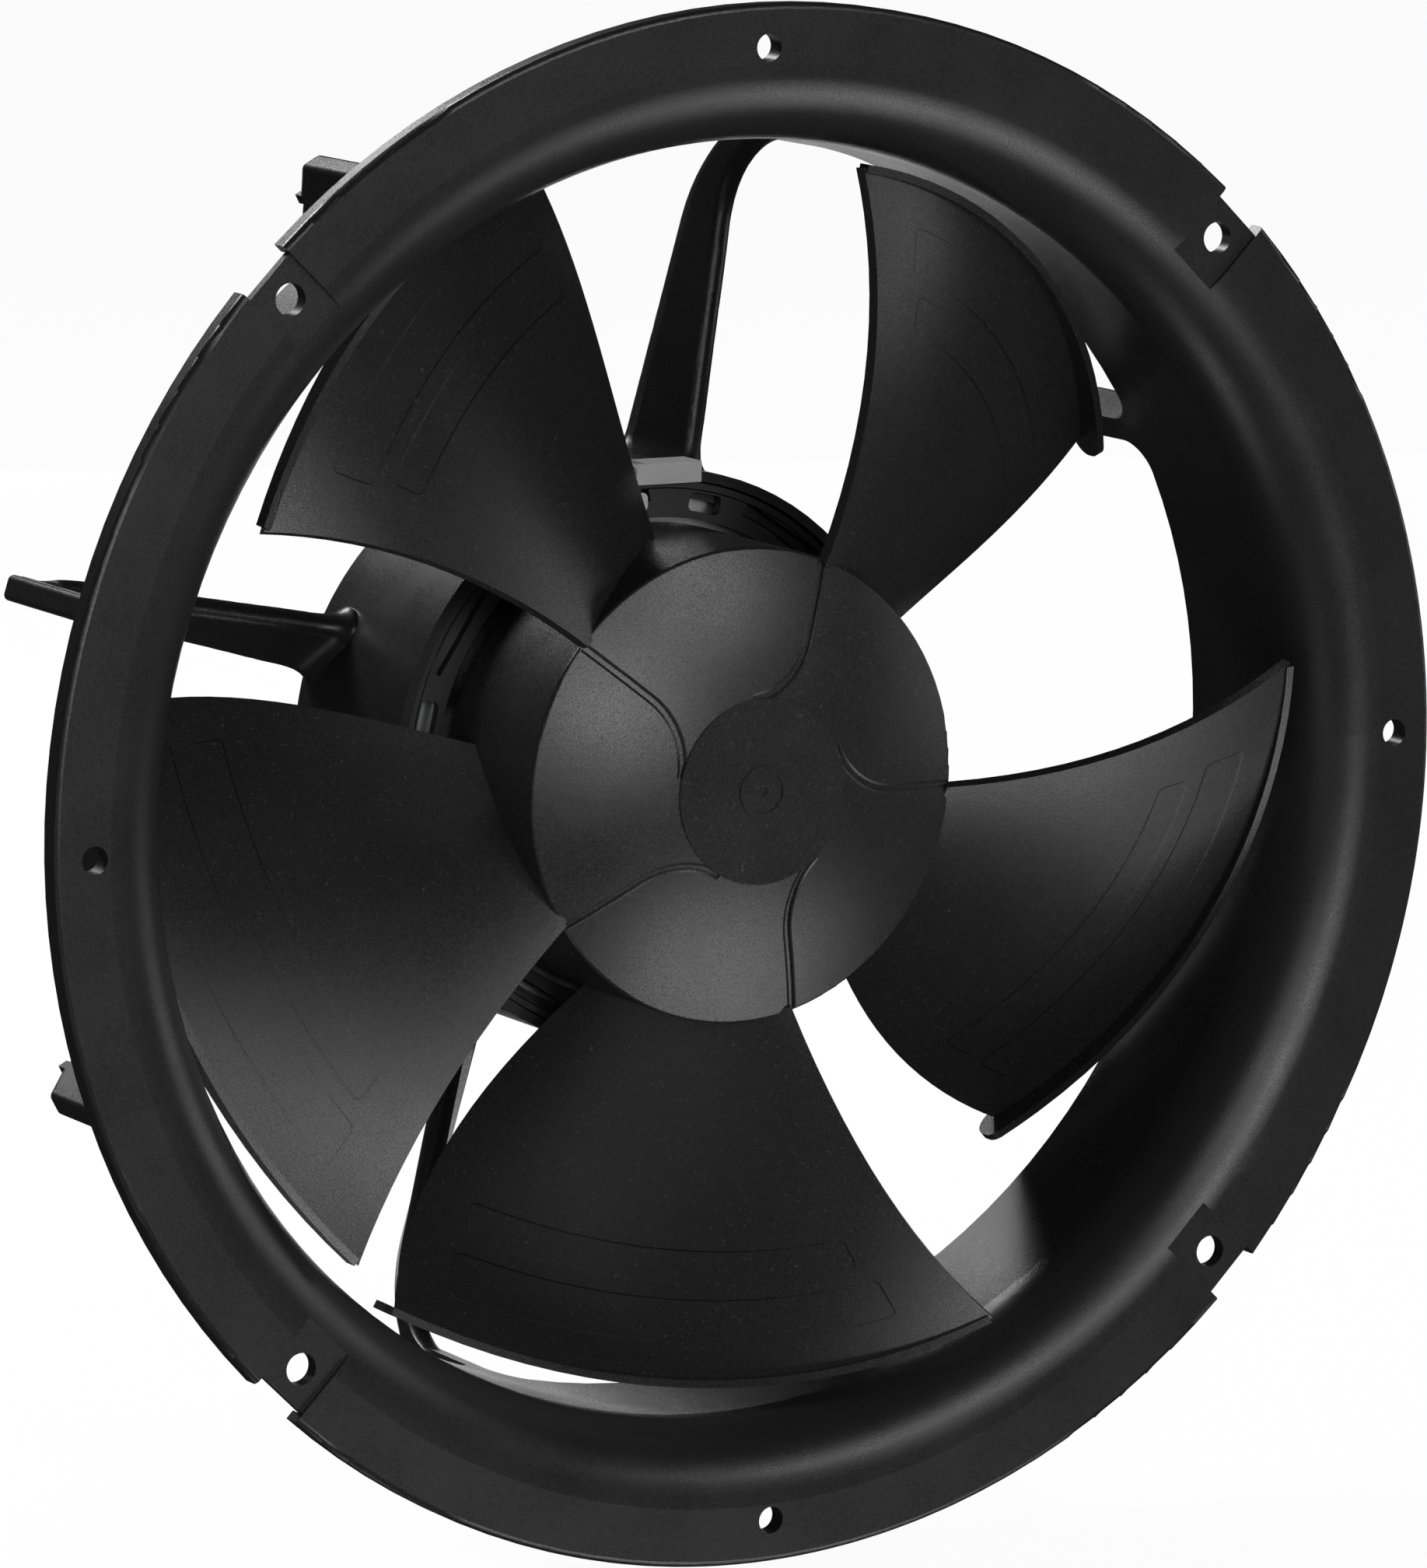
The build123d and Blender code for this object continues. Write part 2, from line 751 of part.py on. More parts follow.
circlip_depth = rear_bearing_depth + bearing_width
circlip_rear = circlip_depth + circlip_thickness
shaft_rear_depth = circlip_rear + shaft_tail
groove_r = shaft_r - circlip_groove
with BuildPart() as shaft:
    turn_ring(0, shaft_r, bell_front_depth - shaft_head, shaft_rear_depth)
    turn_ring(0, shaft_head_d / 2, bell_front_depth - shaft_head, bell_front_depth)
    with BuildSketch(across(circlip_rear)):
        Circle(shaft_r + 1)
        Circle(groove_r, mode=Mode.SUBTRACT)
    extrude(amount=circlip_thickness, mode=Mode.SUBTRACT)
    tail = shaft.edges().group_by(Axis.Y)[-1]
    chamfer(tail, 0.5)
save(shaft, "shaft")

with BuildPart() as shaft_circlip:
    turn_ring(groove_r + fit_play, circlip_d / 2, circlip_depth, circlip_rear)
    with BuildSketch(across(circlip_rear)):
        with BuildLine():
            reach = circlip_d
            half_gap = circlip_gap_angle / 2
            Polyline(
                (0, 0),
                (reach * sin(radians(half_gap)), -reach * cos(radians(half_gap))),
                (-reach * sin(radians(half_gap)), -reach * cos(radians(half_gap))),
                (0, 0),
            )
        make_face()
    extrude(amount=circlip_thickness, mode=Mode.SUBTRACT)
save(shaft_circlip, "shaft_circlip")

# Bearings: rings, balls and cages

bearing_r = bearing_d / 2
ball_pitch_r = (inner_ring_d + outer_ring_d) / 4
ball_angles = [k * 360 / ball_count for k in range(ball_count)]


def bearing_piece(inner_r, outer_r, front_depth):
    # a ring of a bearing with its ball track
    middle_y = at(front_depth + bearing_width / 2)
    with BuildPart() as ring:
        turn_ring(inner_r, outer_r, front_depth, front_depth + bearing_width)
        with BuildSketch(Plane.XY) as track:
            with Locations((ball_pitch_r, middle_y)):
                Circle(ball_d / 2 + ball_play)
        revolve(track.sketch, axis=Axis.Y, mode=Mode.SUBTRACT)
    return ring


def ball_piece(front_depth):
    middle = front_depth + bearing_width / 2
    with BuildPart() as balls:
        for angle in ball_angles:
            with Locations(place(ball_pitch_r, angle, middle)):
                Sphere(ball_d / 2)
    return balls


def cage_piece(front_depth):
    middle = front_depth + bearing_width / 2
    cage_inner_r = inner_ring_d / 2 + cage_play
    cage_outer_r = outer_ring_d / 2 - cage_play
    cage_front = front_depth + cage_margin
    cage_rear = front_depth + bearing_width - cage_margin
    with BuildPart() as cage:
        turn_ring(cage_inner_r, cage_outer_r, cage_front, cage_rear)
        for angle in ball_angles:
            with Locations(facing(ball_pitch_r, angle).offset(0)):
                with Locations((0, at(middle))):
                    Cylinder(ball_d / 2 + ball_play, 2 * ball_d, mode=Mode.SUBTRACT)
    return cage


front_outer = bearing_piece(outer_ring_d / 2, bearing_r, front_bearing_depth)
save(front_outer, "front_bearing_outer")
rear_outer = bearing_piece(outer_ring_d / 2, bearing_r, rear_bearing_depth)
save(rear_outer, "rear_bearing_outer")
front_inner = bearing_piece(shaft_r + fit_play, inner_ring_d / 2, front_bearing_depth)
save(front_inner, "front_bearing_inner")
rear_inner = bearing_piece(shaft_r + fit_play, inner_ring_d / 2, rear_bearing_depth)
save(rear_inner, "rear_bearing_inner")
save(ball_piece(front_bearing_depth), "front_bearing_balls")
save(ball_piece(rear_bearing_depth), "rear_bearing_balls")
save(cage_piece(front_bearing_depth), "front_bearing_cage")
save(cage_piece(rear_bearing_depth), "rear_bearing_cage")

# Stator of the motor

tube_r = bearing_r + tube_wall
plate_r = housing_inner_r - plate_play
core_middle = (magnet_front_depth + magnet_rear_depth) / 2
core_rear_depth = core_middle + core_length / 2
with BuildPart() as stator_flange:
    turn_ring(bearing_r + fit_play, plate_r, plate_depth, plate_rear)
    tube_front_depth = front_bearing_depth - tube_lead
    turn_ring(bearing_r + fit_play, tube_r, tube_front_depth, plate_rear)
    turn_ring(bearing_r + fit_play, tube_r + tube_step, core_rear_depth, plate_rear)
    shoulder_r = bearing_r - bearing_shoulder
    inside_r = bearing_r + fit_play + wall / 2
    turn_ring(shoulder_r, inside_r, bearing_rear, bearing_rear + shoulder_length)
    rear_shoulder = rear_bearing_depth - shoulder_length
    turn_ring(shoulder_r, inside_r, rear_shoulder, rear_bearing_depth)
save(stator_flange, "stator_flange")

core_r = magnet_inner_r - air_gap
slot_angles = [k * 360 / slot_count for k in range(slot_count)]
shoe_inner_r = core_r - shoe_height
with BuildPart() as stator_core:
    with BuildSketch(across(core_rear_depth)):
        Circle(core_yoke_d / 2)
        for angle in slot_angles:
            with Locations(Location(on_circle(shoe_inner_r / 2 + 1, angle), angle)):
                Rectangle(shoe_inner_r + 2, tooth_width)
        with BuildSketch(mode=Mode.PRIVATE) as shoes:
            Circle(core_r)
            Circle(shoe_inner_r, mode=Mode.SUBTRACT)
            reach = 2 * core_r
            for angle in slot_angles:
                low = angle + shoe_angle / 2
                high = angle + 360 / slot_count - shoe_angle / 2
                with BuildLine():
                    Polyline(
                        (0, 0), on_circle(reach, low), on_circle(reach, high), (0, 0)
                    )
                make_face(mode=Mode.SUBTRACT)
        add(shoes.sketch)
        Circle(tube_r + fit_play, mode=Mode.SUBTRACT)
    extrude(amount=core_length)
save(stator_core, "stator_core")

coil_inner_r = core_yoke_d / 2 + coil_yoke_gap
coil_outer_r = shoe_inner_r - coil_shoe_gap
coil_length = coil_outer_r - coil_inner_r
coil_middle_r = (coil_outer_r + coil_inner_r) / 2
former_width = tooth_width + 2 * former_thickness
former_height = core_length + 2 * former_thickness

with BuildPart() as coil_formers:
    for angle in slot_angles:
        spot = Location(place(coil_middle_r, angle, core_middle), (0, -angle, 0))
        with Locations(spot):
            Box(coil_length, former_height, former_width)
    for angle in slot_angles:
        spot = Location(place(coil_middle_r, angle, core_middle), (0, -angle, 0))
        with Locations(spot):
            Box(coil_length + 1, core_length, tooth_width, mode=Mode.SUBTRACT)
save(coil_formers, "coil_formers")

with BuildPart() as windings:
    for angle in slot_angles:
        spot = Location(place(coil_middle_r, angle, core_middle), (0, -angle, 0))
        with Locations(spot):
            Box(coil_length, former_height + 2 * coil_build, former_width + 2 * coil_build)
    long_edges = windings.edges().filter_by(lambda e: abs(e.length - coil_length) < 0.01)
    fillet(long_edges, coil_build * 0.7)
    for angle in slot_angles:
        spot = Location(place(coil_middle_r, angle, core_middle), (0, -angle, 0))
        with Locations(spot):
            Box(coil_length + 1, former_height, former_width, mode=Mode.SUBTRACT)
save(windings, "windings")

# Motor housing in the cup, and the ring that clips the motor in it

board_depth = plate_rear + ledge_length + board_gap
board_rear_depth = board_depth + board_thickness
board_r = housing_inner_r - board_margin
cover_r = cup_opening_r - cover_play
cover_screw_r = cover_r - cover_screw_inset
dome_r = cover_r - cover_flange_width
cover_depth = floor_depth + cover_height
boss_front = cavity_depth - screw_boss_length
post_angles = [k * 90.0 for k in range(4)]
with BuildPart() as motor_housing:
    turn_ring(housing_inner_r, housing_r, housing_front_depth, floor_depth)
    turn_ring(dome_r - housing_lap, housing_r, cavity_depth, floor_depth)
    ledge_inner_r = housing_inner_r - ledge_width
    ledge_outer_r = housing_r - housing_wall / 2
    turn_ring(ledge_inner_r, ledge_outer_r, plate_rear, plate_rear + ledge_length)
    boss_d = cover_screw_d + 2 * screw_boss_wall
    stand(cover_screw_r, screw_angles, boss_d, boss_front, floor_depth)
    boss_d = housing_screw_d + 2 * screw_boss_wall
    stand(housing_screw_r, screw_angles, boss_d, boss_front, floor_depth)
    stand(board_r - post_inset, post_angles, post_d, board_rear_depth, floor_depth)
    hole_d = cover_screw_d + 2 * thread_play
    stand(cover_screw_r, screw_angles, hole_d, boss_front - 1, floor_depth + 1, Mode.SUBTRACT)
    hole_d = housing_screw_d + 2 * thread_play
    stand(housing_screw_r, screw_angles, hole_d, boss_front - 1, floor_depth + 1, Mode.SUBTRACT)
save(motor_housing, "motor_housing")

clip_outer_r = housing_inner_r - clip_play
clip_inner_r = hub_r + clip_gap
clip_rear = housing_front_depth + clip_ring_front
slot_r = clip_outer_r - clip_edge - clip_slot_width / 2
notch_r = clip_outer_r - clip_edge - clip_notch_width / 2
slot_places = [clip_slot_angle + k * 360 / clip_slot_count for k in range(clip_slot_count)]
with BuildPart() as clip_ring:
    turn_ring(clip_inner_r, clip_outer_r, housing_front_depth, clip_rear)
    turn_ring(clip_outer_r - clip_skirt, clip_outer_r, housing_front_depth, plate_depth)
    with BuildSketch(across(clip_rear + 1)):
        for angle in slot_places:
            with Locations(Location(on_circle(slot_r, angle), angle)):
                Rectangle(clip_slot_width, clip_slot_length)
            notch_angle = angle + clip_notch_lag
            with Locations(Location(on_circle(notch_r, notch_angle), notch_angle)):
                RectangleRounded(clip_notch_width, clip_notch_length, clip_notch_corner)
    extrude(amount=clip_ring_front + 2, mode=Mode.SUBTRACT)
save(clip_ring, "clip_ring")

bracket_inner_r = cup_inner_r - bracket_overlap
leg_inner_r = cup_r + bracket_leg_gap
bracket_outer_r = leg_inner_r + bracket_sheet
tongue_outer_r = bracket_inner_r - bracket_slot
tongue_inner_r = clip_inner_r + 1.5 * bracket_sheet
with BuildPart() as earth_bracket:
    with BuildSketch(across(bracket_seat_depth)):
        with Locations(Location((0, 0), bracket_angle)):
            with Locations(((bracket_inner_r + bracket_outer_r) / 2, 0)):
                Rectangle(bracket_outer_r - bracket_inner_r, bracket_width)
            tongue_side = (bracket_width - bracket_tongue_width) / 2
            with Locations(((tongue_inner_r + tongue_outer_r) / 2, tongue_side)):
                tongue_size = tongue_outer_r - tongue_inner_r
                RectangleRounded(tongue_size, bracket_tongue_width, bracket_tongue_corner)
            web_r = (tongue_inner_r + bracket_inner_r) / 2 + bracket_tongue_corner
            with Locations((web_r, (bracket_width - bracket_web) / 2)):
                Rectangle(bracket_inner_r - tongue_inner_r, bracket_web)
        with Locations(on_circle(earth_boss_r, earth_boss_angle)):
            Circle(earth_boss_d / 2)
            Circle(earth_screw_d / 2 + screw_play, mode=Mode.SUBTRACT)
    extrude(amount=bracket_sheet)
    with BuildSketch(across(cup_front_depth)):
        with Locations(Location((0, 0), bracket_angle)):
            leg_side = (bracket_leg_width - bracket_width) / 2
            with Locations(((leg_inner_r + bracket_outer_r) / 2, leg_side)):
                Rectangle(bracket_sheet, bracket_leg_width)
    extrude(amount=-bracket_leg_length - bracket_sheet)
save(earth_bracket, "earth_bracket")

with BuildPart() as earth_screw:
    place_on = [earth_boss_angle]
    screw_front = cup_front_depth - earth_screw_head
    screw_end = bracket_seat_depth + earth_screw_length
    stand(earth_boss_r, place_on, earth_screw_head_d, screw_front, cup_front_depth)
    stand(earth_boss_r, place_on, earth_screw_d, screw_front, screw_end)
    drive_end = screw_front + earth_screw_drive_depth
    drive_front = screw_front - 1
    stand(earth_boss_r, place_on, screw_drive_d, drive_front, drive_end, Mode.SUBTRACT)
save(earth_screw, "earth_screw")

# Circuit board and its parts

with BuildPart() as circuit_board:
    turn_ring(0, board_r, board_depth, board_rear_depth)
save(circuit_board, "circuit_board")

capacitor_height = cavity_depth - board_rear_depth - capacitor_gap
with BuildPart() as capacitors:
    with BuildSketch(across(board_rear_depth + capacitor_height)):
        with Locations((0, capacitor_row_z)):
            with GridLocations(capacitor_pitch, 1, 3, 1):
                Circle(capacitor_d / 2)
    extrude(amount=capacitor_height)
save(capacitors, "capacitors")

with BuildPart() as choke:
    with BuildSketch(across(board_rear_depth + choke_height)):
        with Locations((choke_x, choke_z)):
            Circle(choke_d / 2)
            Circle(choke_bore_d / 2, mode=Mode.SUBTRACT)
    extrude(amount=choke_height)
    fillet(choke.edges(), 1.5)
save(choke, "choke")

with BuildPart() as terminal_block:
    with BuildSketch(across(board_rear_depth + terminal_height)):
        with Locations((terminal_x, terminal_z)):
            Rectangle(terminal_length, terminal_width)
    extrude(amount=terminal_height)
    with BuildSketch(across(board_rear_depth + terminal_height)):
        with Locations((terminal_x, terminal_z)):
            with GridLocations(terminal_length / 5, 1, 5, 1):
                Circle(terminal_length / 16)
    extrude(amount=terminal_height / 3, mode=Mode.SUBTRACT)
save(terminal_block, "terminal_block")

# Rear cover with its seal, the screws and the cable gland

cover_rear = floor_depth + cover_flange
groove_front_r = dome_r + seal_inset
seal_inner_r = groove_front_r + seal_side_play
gland_r = gland_thread_d / 2
with BuildPart() as rear_cover:
    with BuildSketch(Plane.XY) as cover_section:
        with BuildLine():
            Polyline(
                (0, at(cover_depth)),
                (dome_r, at(cover_depth)),
                (dome_r, at(cover_rear)),
                (cover_r, at(cover_rear)),
                (cover_r, at(floor_depth)),
                (dome_r - cover_wall, at(floor_depth)),
                (dome_r - cover_wall, at(cover_depth - cover_wall)),
                (0, at(cover_depth - cover_wall)),
                (0, at(cover_depth)),
            )
        make_face()
        edge = cover_section.vertices().filter_by(
            lambda v: abs(v.X - dome_r) < 0.01
        )
        fillet(edge.sort_by(Axis.Y)[-1], cover_round)
        inside = cover_section.vertices().filter_by(
            lambda v: abs(v.X - dome_r + cover_wall) < 0.01
        )
        fillet(inside.sort_by(Axis.Y)[-1], cover_round - cover_wall / 2)
    revolve(axis=Axis.Y)
    with BuildSketch(across(floor_depth + seal_height)):
        Circle(groove_front_r + seal_width + 2 * seal_side_play)
        Circle(groove_front_r, mode=Mode.SUBTRACT)
    extrude(amount=seal_height + 1, mode=Mode.SUBTRACT)
    hole_d = cover_screw_d + 2 * screw_play
    stand(cover_screw_r, screw_angles, hole_d, floor_depth - 1, cover_rear + 1, Mode.SUBTRACT)
    with BuildSketch(across(cover_depth + 1)):
        with Locations((0, gland_z)):
            Circle(gland_r + thread_play)
    extrude(amount=cover_wall + 2, mode=Mode.SUBTRACT)
save(rear_cover, "rear_cover")

with BuildPart() as cover_seal:
    turn_ring(seal_inner_r, seal_inner_r + seal_width, floor_depth, floor_depth + seal_height)
save(cover_seal, "cover_seal")


def screw_set(circle_r, diameter, head_d, seat_depth, length):
    # button screws on a circle with their heads to the rear
    with BuildPart() as screws:
        stand(circle_r, screw_angles, head_d, seat_depth, seat_depth + screw_head)
        screws_edges = screws.edges().group_by(Axis.Y)[-1]
        fillet(screws_edges, screw_head * 0.5)
        stand(circle_r, screw_angles, diameter, seat_depth - length, seat_depth + 0.5)
        top = seat_depth + screw_head
        stand(
            circle_r,
            screw_angles,
            screw_drive_d,
            top - screw_drive_depth,
            top + 1,
            Mode.SUBTRACT,
        )
    return screws


cover_screws = screw_set(
    cover_screw_r, cover_screw_d, cover_screw_head_d, cover_rear, cover_screw_length
)
save(cover_screws, "cover_screws")
housing_screws = screw_set(
    housing_screw_r,
    housing_screw_d,
    housing_screw_head_d,
    cup_rear_depth,
    housing_screw_length,
)
save(housing_screws, "housing_screws")

gland_rear = cover_depth + gland_hex_length
nut_rear = gland_rear + gland_nut_length
with BuildPart() as cable_gland:
    with BuildSketch(across(gland_rear)):
        with Locations((0, gland_z)):
            RegularPolygon(gland_hex_d / 2, 6, major_radius=False)
    extrude(amount=gland_hex_length)
    with BuildSketch(across(gland_rear)):
        with Locations((0, gland_z)):
            Circle(gland_r)
    extrude(amount=gland_rear - cover_depth + cover_wall + 2)
    with BuildSketch(across(gland_rear + 1)):
        with Locations((0, gland_z)):
            Circle(cable_d / 2)
    extrude(amount=gland_rear - cover_depth + cover_wall + 4, mode=Mode.SUBTRACT)
save(cable_gland, "cable_gland")

with BuildPart() as gland_nut:
    with BuildSketch(across(nut_rear)):
        with Locations((0, gland_z)):
            Circle(gland_nut_d / 2)
    extrude(amount=gland_nut_length)
    fillet(gland_nut.edges().group_by(Axis.Y)[-1], 3.0)
    with BuildSketch(across(nut_rear + 1)):
        with Locations((0, gland_z)):
            Circle(cable_d / 2)
    extrude(amount=gland_nut_length + 2, mode=Mode.SUBTRACT)
save(gland_nut, "gland_nut")
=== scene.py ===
import json
from math import cos, radians, sin, sqrt

import bmesh
import bpy
from mathutils import Matrix, Vector

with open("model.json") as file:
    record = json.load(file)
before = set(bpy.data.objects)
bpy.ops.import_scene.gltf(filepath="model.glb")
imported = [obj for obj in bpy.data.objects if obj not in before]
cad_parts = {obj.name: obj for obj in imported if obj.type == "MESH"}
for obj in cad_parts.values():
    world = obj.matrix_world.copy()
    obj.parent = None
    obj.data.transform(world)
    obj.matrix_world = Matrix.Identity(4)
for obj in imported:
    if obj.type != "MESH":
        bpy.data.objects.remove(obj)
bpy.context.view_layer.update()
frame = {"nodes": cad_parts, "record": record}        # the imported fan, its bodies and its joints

nodes = frame["nodes"]

# Camera, where the photograph was taken from: a long lens, to the left and a little above
cameraSet = {
    "azimuth": -29.385,
    "elevation": 9.7835,
    "roll": 0.1196,
    "lens": 209.87,
    "sensor": 36,
    "near": 0.1,
    "far": 60,
    "target": (0, -0.0053, 0),    # the middle of the flange's front
    "aimRight": 0.013683,         # and where it lies as the camera sees it
    "aimUp": -0.002415,
    "aimAway": 2.202172,
}


def awayFrom(turn, height):
    # direction by its turn from straight ahead to the right and its height above level
    turn, height = radians(turn), radians(height)
    return Vector((sin(turn) * cos(height), -cos(turn) * cos(height), sin(height)))


def makeCamera(s):
    roll = radians(s["roll"])
    ahead = -awayFrom(s["azimuth"], s["elevation"])
    right = Vector((cos(radians(s["azimuth"])), sin(radians(s["azimuth"])), 0))
    up = right.cross(ahead)
    right, up = right * cos(roll) - up * sin(roll), right * sin(roll) + up * cos(roll)
    place = Vector(s["target"]) - right * s["aimRight"] - up * s["aimUp"] - ahead * s["aimAway"]
    data = bpy.data.cameras.new("camera")
    data.lens = s["lens"]
    data.sensor_width = s["sensor"]
    data.sensor_fit = "AUTO"
    data.clip_start = s["near"]
    data.clip_end = s["far"]
    camera = bpy.data.objects.new("camera", data)
    turn = Matrix((right, up, -ahead)).transposed().to_4x4()
    camera.matrix_world = Matrix.Translation(place) @ turn
    bpy.context.scene.collection.objects.link(camera)
    bpy.context.scene.camera = camera


makeCamera(cameraSet)
print("camera made")


# Helpers for shader nodes
def feed(tree, socket, value):
    # sets a number or colour on a socket, or links another socket to it
    if isinstance(value, (int, float, tuple)):
        socket.default_value = value
    else:
        tree.links.new(value, socket)


def calc(tree, operation, *values):
    node = tree.nodes.new("ShaderNodeMath")
    node.operation = operation
    for socket, value in zip(node.inputs, values):
        feed(tree, socket, value)
    return node.outputs[0]


def spread(tree, value, fromSpan, toSpan):
    node = tree.nodes.new("ShaderNodeMapRange")
    feed(tree, node.inputs["Value"], value)
    feed(tree, node.inputs["From Min"], fromSpan[0])
    feed(tree, node.inputs["From Max"], fromSpan[1])
    feed(tree, node.inputs["To Min"], toSpan[0])
    feed(tree, node.inputs["To Max"], toSpan[1])
    return node.outputs["Result"]


def squared(tree, value):
    return calc(tree, "POWER", value, 2.0)


def mixShaders(tree, share, first, second):
    node = tree.nodes.new("ShaderNodeMixShader")
    feed(tree, node.inputs["Fac"], share)
    feed(tree, node.inputs[1], first)
    feed(tree, node.inputs[2], second)
    return node.outputs["Shader"]


def mixColours(tree, share, first, second):
    node = tree.nodes.new("ShaderNodeMix")
    node.data_type = "RGBA"
    feed(tree, node.inputs["Factor"], share)
    feed(tree, node.inputs["A"], first)
    feed(tree, node.inputs["B"], second)
    return node.outputs["Result"]


def opaque(colour):
    return (*colour, 1)


def newMaterial(name):
    material = bpy.data.materials.new(name)
    material.use_nodes = True
    tree = material.node_tree
    tree.nodes.clear()
    out = tree.nodes.new("ShaderNodeOutputMaterial")
    return material, tree, out


# Studio: a pale floor, a white surround and soft boxes
floorSet = {"size": 14.0, "cells": 4, "drop": 0.1925, "grey": 0.9, "showWhite": 0.955}
surroundSet = {"behind": 1.0, "inGloss": 0.02, "onDiffuse": 0.12}
softBoxes = {    # turn and height in degrees, as awayFrom takes them
    "frontBox": {"turn": 0, "height": 7, "wide": 0.7, "high": 0.65, "watts": 11.3},
    "highRightBox": {"turn": 21, "height": 25, "wide": 0.75, "high": 0.5, "watts": 8.7},
    "frontLeftBox": {"turn": -22, "height": 20, "wide": 0.7, "high": 0.85, "watts": 6.2},
    "lowRightBox": {"turn": 34, "height": -42, "wide": 1.3, "high": 0.95, "watts": 11.5},
    "lowBox": {"turn": 21, "height": -37, "wide": 0.8, "high": 0.6, "watts": 3.9},
    "leftBox": {"turn": -52, "height": -14, "wide": 0.9, "high": 1.0, "watts": 1.4},
    "lowLeftBox": {"turn": -70, "height": -60, "wide": 0.7, "high": 0.5, "watts": 3},
    "rightBox": {"turn": 78, "height": 6, "wide": 0.8, "high": 1.0, "watts": 4},
    "rearTopBox": {"turn": -160, "height": 45, "wide": 1.4, "high": 0.5, "watts": 45},
    "rearBox": {"turn": 155, "height": -8, "wide": 1.3, "high": 0.8, "watts": 3.3},
}
boxDistance = 2.0


def makeFloor(s):
    bm = bmesh.new()
    bmesh.ops.create_grid(
        bm, x_segments=s["cells"], y_segments=s["cells"], size=s["size"] / 2
    )
    bmesh.ops.translate(bm, verts=bm.verts, vec=(0, 0, -s["drop"]))
    mesh = bpy.data.meshes.new("floor")
    bm.to_mesh(mesh)
    bm.free()
    floor = bpy.data.objects.new("floor", mesh)
    bpy.context.scene.collection.objects.link(floor)
    material, tree, out = newMaterial("floorPale")
    diffuse = tree.nodes.new("ShaderNodeBsdfDiffuse")
    diffuse.inputs["Color"].default_value = opaque([s["grey"]] * 3)
    white = tree.nodes.new("ShaderNodeEmission")
    clear = tree.nodes.new("ShaderNodeBsdfTransparent")
    ray = tree.nodes.new("ShaderNodeLightPath").outputs
    share = calc(tree, "MULTIPLY", ray["Is Camera Ray"], s["showWhite"])
    pale = mixShaders(tree, share, diffuse.outputs["BSDF"], white.outputs["Emission"])
    # the low soft boxes shine through from below
    passing = calc(tree, "MAXIMUM", ray["Is Shadow Ray"], ray["Is Glossy Ray"])
    feed(tree, out.inputs["Surface"], mixShaders(tree, passing, pale, clear.outputs["BSDF"]))
    mesh.materials.append(material)


def makeSurround(s):
    world = bpy.data.worlds.new("surround")
    bpy.context.scene.world = world
    world.use_nodes = True
    tree = world.node_tree
    tree.nodes.clear()
    out = tree.nodes.new("ShaderNodeOutputWorld")
    back = tree.nodes.new("ShaderNodeBackground")
    ray = tree.nodes.new("ShaderNodeLightPath").outputs
    onObject = spread(tree, ray["Is Glossy Ray"], (0.0, 1.0), (s["onDiffuse"], s["inGloss"]))
    seen = calc(tree, "MAXIMUM", ray["Is Camera Ray"], ray["Is Transmission Ray"])
    strength = spread(tree, seen, (0.0, 1.0), (onObject, s["behind"]))
    feed(tree, back.inputs["Strength"], strength)
    feed(tree, out.inputs["Surface"], back.outputs["Background"])


def makeSoftBox(name, s):
    light = bpy.data.lights.new(name, "AREA")
    light.shape = "RECTANGLE"
    light.size = s["wide"]
    light.size_y = s["high"]
    light.energy = s["watts"]
    box = bpy.data.objects.new(name, light)
    away = awayFrom(s["turn"], s["height"])
    box.location = away * boxDistance
    box.rotation_euler = (-away).to_track_quat("-Z", "Y").to_euler()
    box.visible_camera = False
    bpy.context.scene.collection.objects.link(box)


makeFloor(floorSet)
makeSurround(surroundSet)
for boxName, boxSet in softBoxes.items():
    makeSoftBox(boxName, boxSet)
bpy.context.scene.view_settings.view_transform = "Standard"
print("studio made")

# Moulded grain: fine height, pale flecks of glass fibre and slow cloudy change
grainSet = {
    "grain": {"size": 1500.0, "detail": 3, "rough": 0.7},    # sizes that a material may change
    "fleck": {"size": 1100.0, "detail": 2, "rough": 0.8, "from": 0.62, "to": 0.85},
    "cloud": {"size": 45.0, "detail": 4, "rough": 0.5},
    "cloudSpan": (0.3, 0.7),      # of the cloud, from a material's smoothest to its roughest
    "speckSpan": (0.47, 0.6),     # of the grain, from smooth to duller specks
    "bumpDepth": 0.0004,
}


def groupSocket(group, name, direction, kind, value=None):
    socket = group.interface.new_socket(name=name, in_out=direction, socket_type=kind)
    if value is not None:
        socket.default_value = value


def noise(tree, vector, size, s):
    node = tree.nodes.new("ShaderNodeTexNoise")
    feed(tree, node.inputs["Vector"], vector)
    feed(tree, node.inputs["Scale"], size)
    feed(tree, node.inputs["Detail"], s["detail"])
    feed(tree, node.inputs["Roughness"], s["rough"])
    return node.outputs["Fac"]


